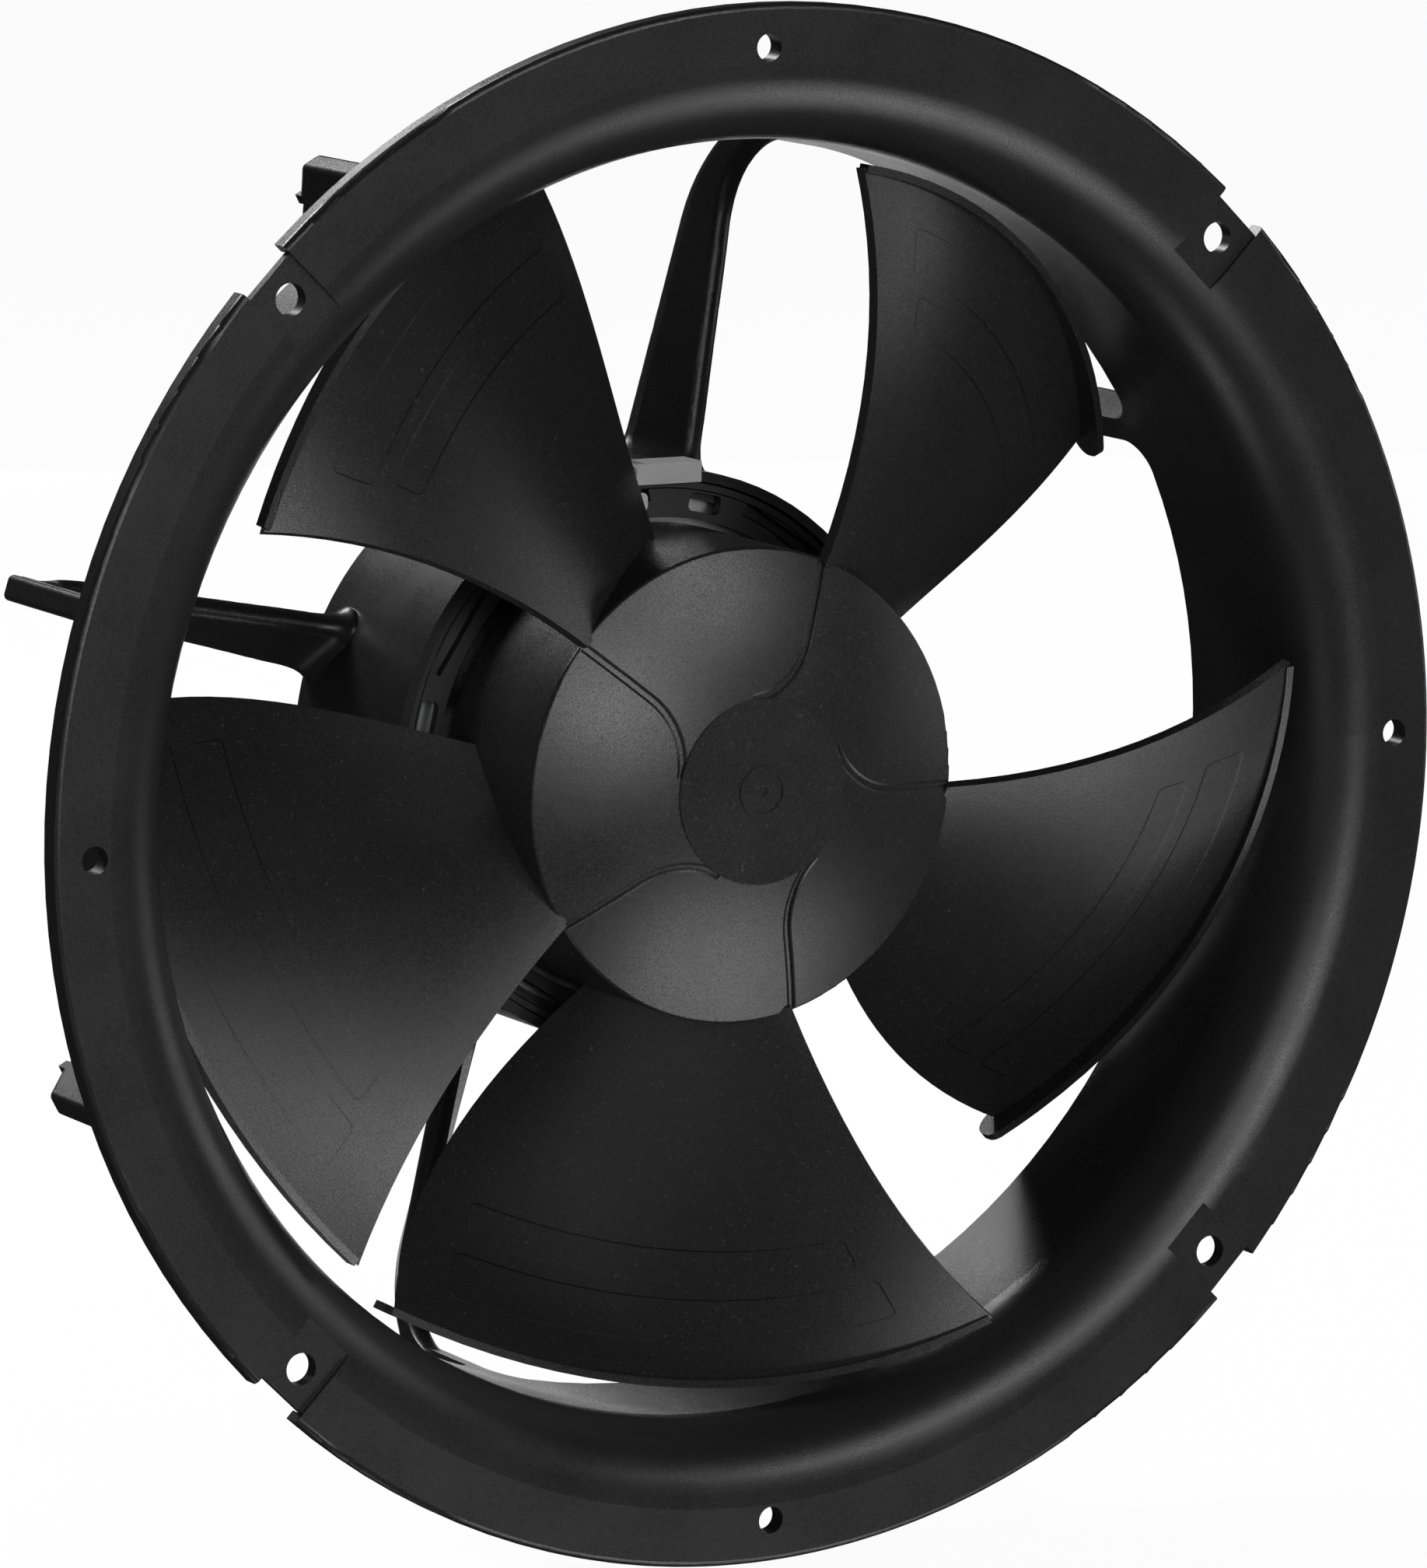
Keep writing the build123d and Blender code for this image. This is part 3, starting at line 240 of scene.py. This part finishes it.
def makeGrainGroup(s):
    group = bpy.data.node_groups.new("mouldedGrain", "ShaderNodeTree")
    groupSocket(group, "Vector", "INPUT", "NodeSocketVector")
    groupSocket(group, "Grain Size", "INPUT", "NodeSocketFloat", s["grain"]["size"])
    groupSocket(group, "Fleck Size", "INPUT", "NodeSocketFloat", s["fleck"]["size"])
    groupSocket(group, "Height", "OUTPUT", "NodeSocketFloat")
    groupSocket(group, "Flecks", "OUTPUT", "NodeSocketFloat")
    groupSocket(group, "Cloud", "OUTPUT", "NodeSocketFloat")
    enter = group.nodes.new("NodeGroupInput").outputs
    leave = group.nodes.new("NodeGroupOutput").inputs
    place = enter["Vector"]
    feed(group, leave["Height"], noise(group, place, enter["Grain Size"], s["grain"]))
    fleck = noise(group, place, enter["Fleck Size"], s["fleck"])
    span = (s["fleck"]["from"], s["fleck"]["to"])
    feed(group, leave["Flecks"], spread(group, fleck, span, (0.0, 1.0)))
    feed(group, leave["Cloud"], noise(group, place, s["cloud"]["size"], s["cloud"]))
    return group


grainGroup = makeGrainGroup(grainSet)

# Two shallow strips in the front of each blade: radii in metres, angles in degrees
bladeStrips = {
    "innerStrip": {"radii": (0.1177, 0.1260), "angles": (29.4, 67.4), "slant": 120.0},
    "outerStrip": {"radii": (0.1304, 0.1414), "angles": (30.6, 70.3), "slant": 120.0},
}
# strips sunk by bump, and the shade on their step walls painted as dark hairlines along their
# outlines: full on the inner arcs and the ends, faint on the outer arcs
stepShadeSet = {
    "pitch": 72.0,               # degrees from blade to blade
    "corner": 0.0018,
    # half width of the painted shade hairlines and of the strips' sunk steps
    "halfLine": 0.0002,
    "lineCore": 0.5,             # share of a painted shade hairline's width that is fully dark
    "fadeFrom": 0.8,             # share of a strip's half width where its painted shade starts to thin out towards the outer arc
    # share of the painted shade left on the outer arcs, where less shade falls
    "farFade": 0.08,
    "sink": 0.12,
    "frontSpan": (-0.2, -0.1),   # the normal's Y on faces that look to the inlet, and off them
}

# The five S-shaped grooves in the hub's front, for the rounded edges beside them
hubGroove = {
    "lead": 67.5,                # degrees to the first groove's straight part
    "before": 20.0,              # degrees of the hub before that which count as its own
    "discR": 0.0228,
    "rimR": 0.0577,
    "turnR": 0.02,
    "halfWide": 0.00064,
    "edge": 0.0006,
    "sink": 1.0,
}


def stripOutline(tree, radius, angle, s, marks):
    # distance to a strip's rounded outline, and how the painted shade thins out towards its outer
    # arc
    middleR = sum(s["radii"]) / 2
    firstAngle = sum(s["angles"]) / 2 - marks["pitch"] / 2
    halfOut = (s["radii"][1] - s["radii"][0]) / 2 - marks["corner"]
    halfLong = radians(s["angles"][1] - s["angles"][0]) * middleR / 2 - marks["corner"]
    out = calc(tree, "SUBTRACT", radius, middleR)
    turn = calc(tree, "SUBTRACT", angle, firstAngle)
    turn = calc(tree, "SUBTRACT", turn, calc(tree, "MULTIPLY", out, s["slant"]))
    turn = calc(tree, "FLOORED_MODULO", turn, marks["pitch"])
    turn = calc(tree, "SUBTRACT", turn, marks["pitch"] / 2)
    along = calc(tree, "MULTIPLY", calc(tree, "ABSOLUTE", turn), radians(middleR))
    pastLong = calc(tree, "SUBTRACT", along, halfLong)
    pastOut = calc(tree, "SUBTRACT", calc(tree, "ABSOLUTE", out), halfOut)
    longPart = squared(tree, calc(tree, "MAXIMUM", pastLong, 0.0))
    outPart = squared(tree, calc(tree, "MAXIMUM", pastOut, 0.0))
    corner = calc(tree, "SQRT", calc(tree, "ADD", longPart, outPart))
    inside = calc(tree, "MINIMUM", calc(tree, "MAXIMUM", pastLong, pastOut), 0.0)
    distance = calc(tree, "SUBTRACT", calc(tree, "ADD", corner, inside), marks["corner"])
    fadeSpan = (halfOut * marks["fadeFrom"], halfOut + marks["corner"])
    return distance, spread(tree, out, fadeSpan, (1.0, marks["farFade"]))


def grooveEdge(tree, radius, angle, s, pitch):
    # full sink in a groove, none past its rounded edge
    turnX = sqrt((s["discR"] + s["turnR"]) ** 2 - s["turnR"] ** 2)
    endSlope = s["turnR"] / turnX
    turn = calc(tree, "SUBTRACT", angle, s["lead"] - s["before"])
    turn = calc(tree, "FLOORED_MODULO", turn, pitch)
    turn = calc(tree, "RADIANS", calc(tree, "SUBTRACT", turn, s["before"]))
    x = calc(tree, "MULTIPLY", radius, calc(tree, "COSINE", turn))
    y = calc(tree, "MULTIPLY", radius, calc(tree, "SINE", turn))
    fromX = calc(tree, "SUBTRACT", x, turnX)     # from the middle of the groove's bend
    fromY = calc(tree, "SUBTRACT", y, s["turnR"])
    reach = calc(tree, "SQRT", calc(tree, "ADD", squared(tree, fromX), squared(tree, fromY)))
    offBend = calc(tree, "ABSOLUTE", calc(tree, "SUBTRACT", reach, s["turnR"]))
    pastEnd = calc(tree, "GREATER_THAN", fromY, calc(tree, "MULTIPLY", fromX, endSlope))
    onLine = calc(tree, "GREATER_THAN", fromX, 0.0)
    offBend = calc(tree, "ADD", calc(tree, "ADD", offBend, pastEnd), onLine)
    offLine = calc(tree, "ADD", calc(tree, "ABSOLUTE", y), calc(tree, "SUBTRACT", 1.0, onLine))
    off = calc(tree, "MINIMUM", offBend, offLine)
    edgeSpan = (s["halfWide"], s["halfWide"] + s["edge"])
    edge = spread(tree, off, edgeSpan, (s["sink"], 0.0))
    pastDisc = calc(tree, "GREATER_THAN", radius, s["discR"])
    beforeRim = calc(tree, "LESS_THAN", radius, s["rimR"])
    return calc(tree, "MULTIPLY", edge, calc(tree, "MULTIPLY", pastDisc, beforeRim))


def makeStepShadeGroup(strips, groove, marks):
    # Painted Shade darkens the strips' outlines with painted shade from their step walls, Level
    # sinks the strips and rounds the grooves' edges
    group = bpy.data.node_groups.new("impellerMarks", "ShaderNodeTree")
    groupSocket(group, "Vector", "INPUT", "NodeSocketVector")
    groupSocket(group, "Line", "OUTPUT", "NodeSocketFloat")
    groupSocket(group, "Level", "OUTPUT", "NodeSocketFloat")
    enter = group.nodes.new("NodeGroupInput").outputs
    leave = group.nodes.new("NodeGroupOutput").inputs
    place = group.nodes.new("ShaderNodeSeparateXYZ")
    feed(group, place.inputs[0], enter["Vector"])
    x, z = place.outputs["X"], place.outputs["Z"]
    radius = calc(group, "SQRT", calc(group, "ADD", squared(group, x), squared(group, z)))
    angle = calc(group, "DEGREES", calc(group, "ARCTAN2", z, x))
    paintedShade, width = 0.0, marks["halfLine"]
    level = grooveEdge(group, radius, angle, groove, marks["pitch"])
    for strip in strips.values():
        distance, fade = stripOutline(group, radius, angle, strip, marks)
        # painted shade: a dark hairline along each strip's outline, where its step wall lies in
        # shade
        shadeSpan = (width * marks["lineCore"], width)
        edgeShade = spread(group, calc(group, "ABSOLUTE", distance), shadeSpan, (1.0, 0.0))
        paintedShade = calc(group, "MAXIMUM", calc(group, "MULTIPLY", edgeShade, fade), paintedShade)
        sunk = spread(group, distance, (-width, width), (marks["sink"], 0.0))
        level = calc(group, "MAXIMUM", sunk, level)
    normal = group.nodes.new("ShaderNodeNewGeometry").outputs["True Normal"]
    facing = group.nodes.new("ShaderNodeSeparateXYZ")
    feed(group, facing.inputs[0], normal)
    front = spread(group, facing.outputs["Y"], marks["frontSpan"], (1.0, 0.0))
    feed(group, leave["Line"], calc(group, "MULTIPLY", paintedShade, front))
    feed(group, leave["Level"], calc(group, "MULTIPLY", level, front))
    return group


stepShadeGroup = makeStepShadeGroup(bladeStrips, hubGroove, stepShadeSet)

plastics = {
    "ringPlastic": {
        "colour": (0.0098, 0.0098, 0.0098), "fleckColour": (0.05, 0.05, 0.048),
        "fleckShare": 0.25, "rough": (0.24, 0.3), "specks": 0.09, "grainSize": 2400.0,
        "fleckSize": 1300.0, "bump": 0.12, "level": 0.36,
    },
    "bladePlastic": {
        "colour": (0.0102, 0.0102, 0.0102), "fleckColour": (0.075, 0.08, 0.078),
        "fleckShare": 0.8, "rough": (0.22, 0.28), "specks": 0.12, "grainSize": 2400.0,
        "fleckSize": 1000.0, "bump": 0.13, "level": 0.4,
        # painted shade colour for the strips' outlines, and the bump that sinks the strips
        "marks": {"colour": (0.002, 0.002, 0.002), "bump": 1.0, "depth": 0.00035},
    },
    "housingPlastic": {
        "colour": (0.012, 0.012, 0.012), "fleckColour": (0.03, 0.03, 0.03), "fleckShare": 0.2,
        "rough": (0.45, 0.6), "grainSize": 1500.0, "fleckSize": 1300.0, "bump": 0.08,
        "level": 0.4,
    },
    "coverPlastic": {
        "colour": (0.02, 0.02, 0.021), "fleckColour": (0.05, 0.05, 0.05), "fleckShare": 0.25,
        "rough": (0.45, 0.6), "grainSize": 1400.0, "fleckSize": 1200.0, "bump": 0.12,
        "level": 0.4,
    },
    "glandPlastic": {
        "colour": (0.02, 0.02, 0.02), "fleckColour": (0.05, 0.05, 0.05), "fleckShare": 0.1,
        "rough": (0.4, 0.5), "grainSize": 1800.0, "fleckSize": 1200.0, "bump": 0.05,
        "level": 0.45,
    },
    "formerPlastic": {
        "colour": (0.72, 0.69, 0.58), "fleckColour": (0.8, 0.78, 0.7), "fleckShare": 0.2,
        "rough": (0.4, 0.5), "grainSize": 1500.0, "fleckSize": 1500.0, "bump": 0.03,
        "level": 0.5,
    },
    "cagePlastic": {
        "colour": (0.7, 0.65, 0.5), "fleckColour": (0.8, 0.75, 0.6), "fleckShare": 0.2,
        "rough": (0.35, 0.5), "grainSize": 2500.0, "fleckSize": 2500.0, "bump": 0.03,
        "level": 0.5,
    },
    "boardGreen": {
        "colour": (0.012, 0.10, 0.04), "fleckColour": (0.03, 0.16, 0.07), "fleckShare": 0.6,
        "rough": (0.25, 0.4), "grainSize": 900.0, "fleckSize": 420.0, "bump": 0.03,
        "level": 0.5,
    },
    "terminalPlastic": {
        "colour": (0.03, 0.14, 0.07), "fleckColour": (0.05, 0.2, 0.1), "fleckShare": 0.2,
        "rough": (0.4, 0.5), "grainSize": 1500.0, "fleckSize": 1500.0, "bump": 0.03,
        "level": 0.5,
    },
    "capacitorSleeve": {
        "colour": (0.015, 0.02, 0.05), "fleckColour": (0.03, 0.04, 0.09), "fleckShare": 0.2,
        "rough": (0.2, 0.3), "grainSize": 900.0, "fleckSize": 900.0, "bump": 0.02,
        "level": 0.5,
    },
    "chokeCore": {
        "colour": (0.035, 0.037, 0.038), "fleckColour": (0.09, 0.09, 0.09), "fleckShare": 0.5,
        "rough": (0.55, 0.7), "grainSize": 1200.0, "fleckSize": 900.0, "bump": 0.15,
        "level": 0.4,
    },
    "magnetFerrite": {
        "colour": (0.04, 0.04, 0.042), "fleckColour": (0.09, 0.09, 0.09), "fleckShare": 0.5,
        "rough": (0.5, 0.65), "grainSize": 1800.0, "fleckSize": 1400.0, "bump": 0.1,
        "level": 0.4,
    },
    "sealRubber": {
        "colour": (0.015, 0.015, 0.015), "fleckColour": (0.03, 0.03, 0.03), "fleckShare": 0.1,
        "rough": (0.6, 0.75), "grainSize": 1500.0, "fleckSize": 1500.0, "bump": 0.05,
        "level": 0.4,
    },
}

metals = {
    "castAlloy": {
        "colour": (0.46, 0.47, 0.48), "rough": (0.42, 0.6), "grainSize": 1300.0, "bump": 0.2,
    },
    "laminationSteel": {
        "colour": (0.2, 0.2, 0.21), "rough": (0.35, 0.5), "grainSize": 900.0, "bump": 0.05,
    },
    "copperWire": {
        "colour": (0.42, 0.13, 0.045), "rough": (0.25, 0.4), "grainSize": 900.0, "bump": 0.05,
    },
    "bearingSteel": {
        "colour": (0.62, 0.63, 0.65), "rough": (0.12, 0.25), "grainSize": 2500.0, "bump": 0.01,
    },
    "screwSteel": {
        "colour": (0.5, 0.5, 0.52), "rough": (0.25, 0.4), "grainSize": 2000.0, "bump": 0.04,
    },
    "brightSteel": {
        "colour": (0.62, 0.62, 0.62), "rough": (0.3, 0.45), "grainSize": 1800.0, "bump": 0.06,
        "metallic": 0.8,
    },
    "bellSteel": {
        "colour": (0.3, 0.3, 0.31), "rough": (0.3, 0.45), "grainSize": 1100.0, "bump": 0.04,
    },
    "springSteel": {
        "colour": (0.1, 0.1, 0.11), "rough": (0.3, 0.45), "grainSize": 1800.0, "bump": 0.03,
    },
}
metalShade = 0.8    # a metal's darker clouds, as a share of its colour


def placeGroup(tree, group):
    node = tree.nodes.new("ShaderNodeGroup")
    node.node_tree = group
    place = tree.nodes.new("ShaderNodeTexCoord").outputs["Object"]
    feed(tree, node.inputs["Vector"], place)
    return node


def placeGrain(tree, s):
    grain = placeGroup(tree, grainGroup)
    grain.inputs["Grain Size"].default_value = s["grainSize"]
    if "fleckSize" in s:
        grain.inputs["Fleck Size"].default_value = s["fleckSize"]
    return grain.outputs


def bumped(tree, height, strength, depth, before=None):
    node = tree.nodes.new("ShaderNodeBump")
    node.inputs["Strength"].default_value = strength
    node.inputs["Distance"].default_value = depth
    feed(tree, node.inputs["Height"], height)
    if before:
        feed(tree, node.inputs["Normal"], before)
    return node


def finishShader(tree, out, shader, grain, s, before=None):
    dull = spread(tree, grain["Cloud"], grainSet["cloudSpan"], s["rough"])
    if "specks" in s:
        specks = spread(tree, grain["Height"], grainSet["speckSpan"], (0.0, s["specks"]))
        dull = calc(tree, "ADD", dull, specks)
    feed(tree, shader.inputs["Roughness"], dull)
    bump = bumped(tree, grain["Height"], s["bump"], grainSet["bumpDepth"], before)
    feed(tree, shader.inputs["Normal"], bump.outputs["Normal"])
    feed(tree, out.inputs["Surface"], shader.outputs["BSDF"])


def makePlastic(name, s):
    material, tree, out = newMaterial(name)
    grain = placeGrain(tree, s)
    shader = tree.nodes.new("ShaderNodeBsdfPrincipled")
    shader.inputs["Specular IOR Level"].default_value = s["level"]
    share = calc(tree, "MULTIPLY", grain["Flecks"], s["fleckShare"])
    colour = mixColours(tree, share, opaque(s["colour"]), opaque(s["fleckColour"]))
    before = None
    if "marks" in s:
        marks = placeGroup(tree, stepShadeGroup).outputs
        # painted shade darkens the blade colour along the strips' outlines
        colour = mixColours(tree, marks["Line"], colour, opaque(s["marks"]["colour"]))
        step = bumped(tree, marks["Level"], s["marks"]["bump"], s["marks"]["depth"])
        step.invert = True
        before = step.outputs["Normal"]
    feed(tree, shader.inputs["Base Color"], colour)
    finishShader(tree, out, shader, grain, s, before)
    return material


def makeMetal(name, s):
    material, tree, out = newMaterial(name)
    grain = placeGrain(tree, s)
    shader = tree.nodes.new("ShaderNodeBsdfPrincipled")
    shader.inputs["Metallic"].default_value = s.get("metallic", 1.0)
    shade = [metalShade * c for c in s["colour"]]
    colour = mixColours(tree, grain["Cloud"], opaque(s["colour"]), opaque(shade))
    feed(tree, shader.inputs["Base Color"], colour)
    finishShader(tree, out, shader, grain, s)
    return material


finishes = {name: makePlastic(name, s) for name, s in plastics.items()}
finishes.update({name: makeMetal(name, s) for name, s in metals.items()})


def camelName(slot):
    first, *rest = slot.split("_")
    return first + "".join(word.capitalize() for word in rest)


for part in frame["record"]["subparts"]:
    mesh = nodes[part["node"]].data
    mesh.materials.clear()
    mesh.materials.append(finishes[camelName(part["material_slot"])])
print("materials given")
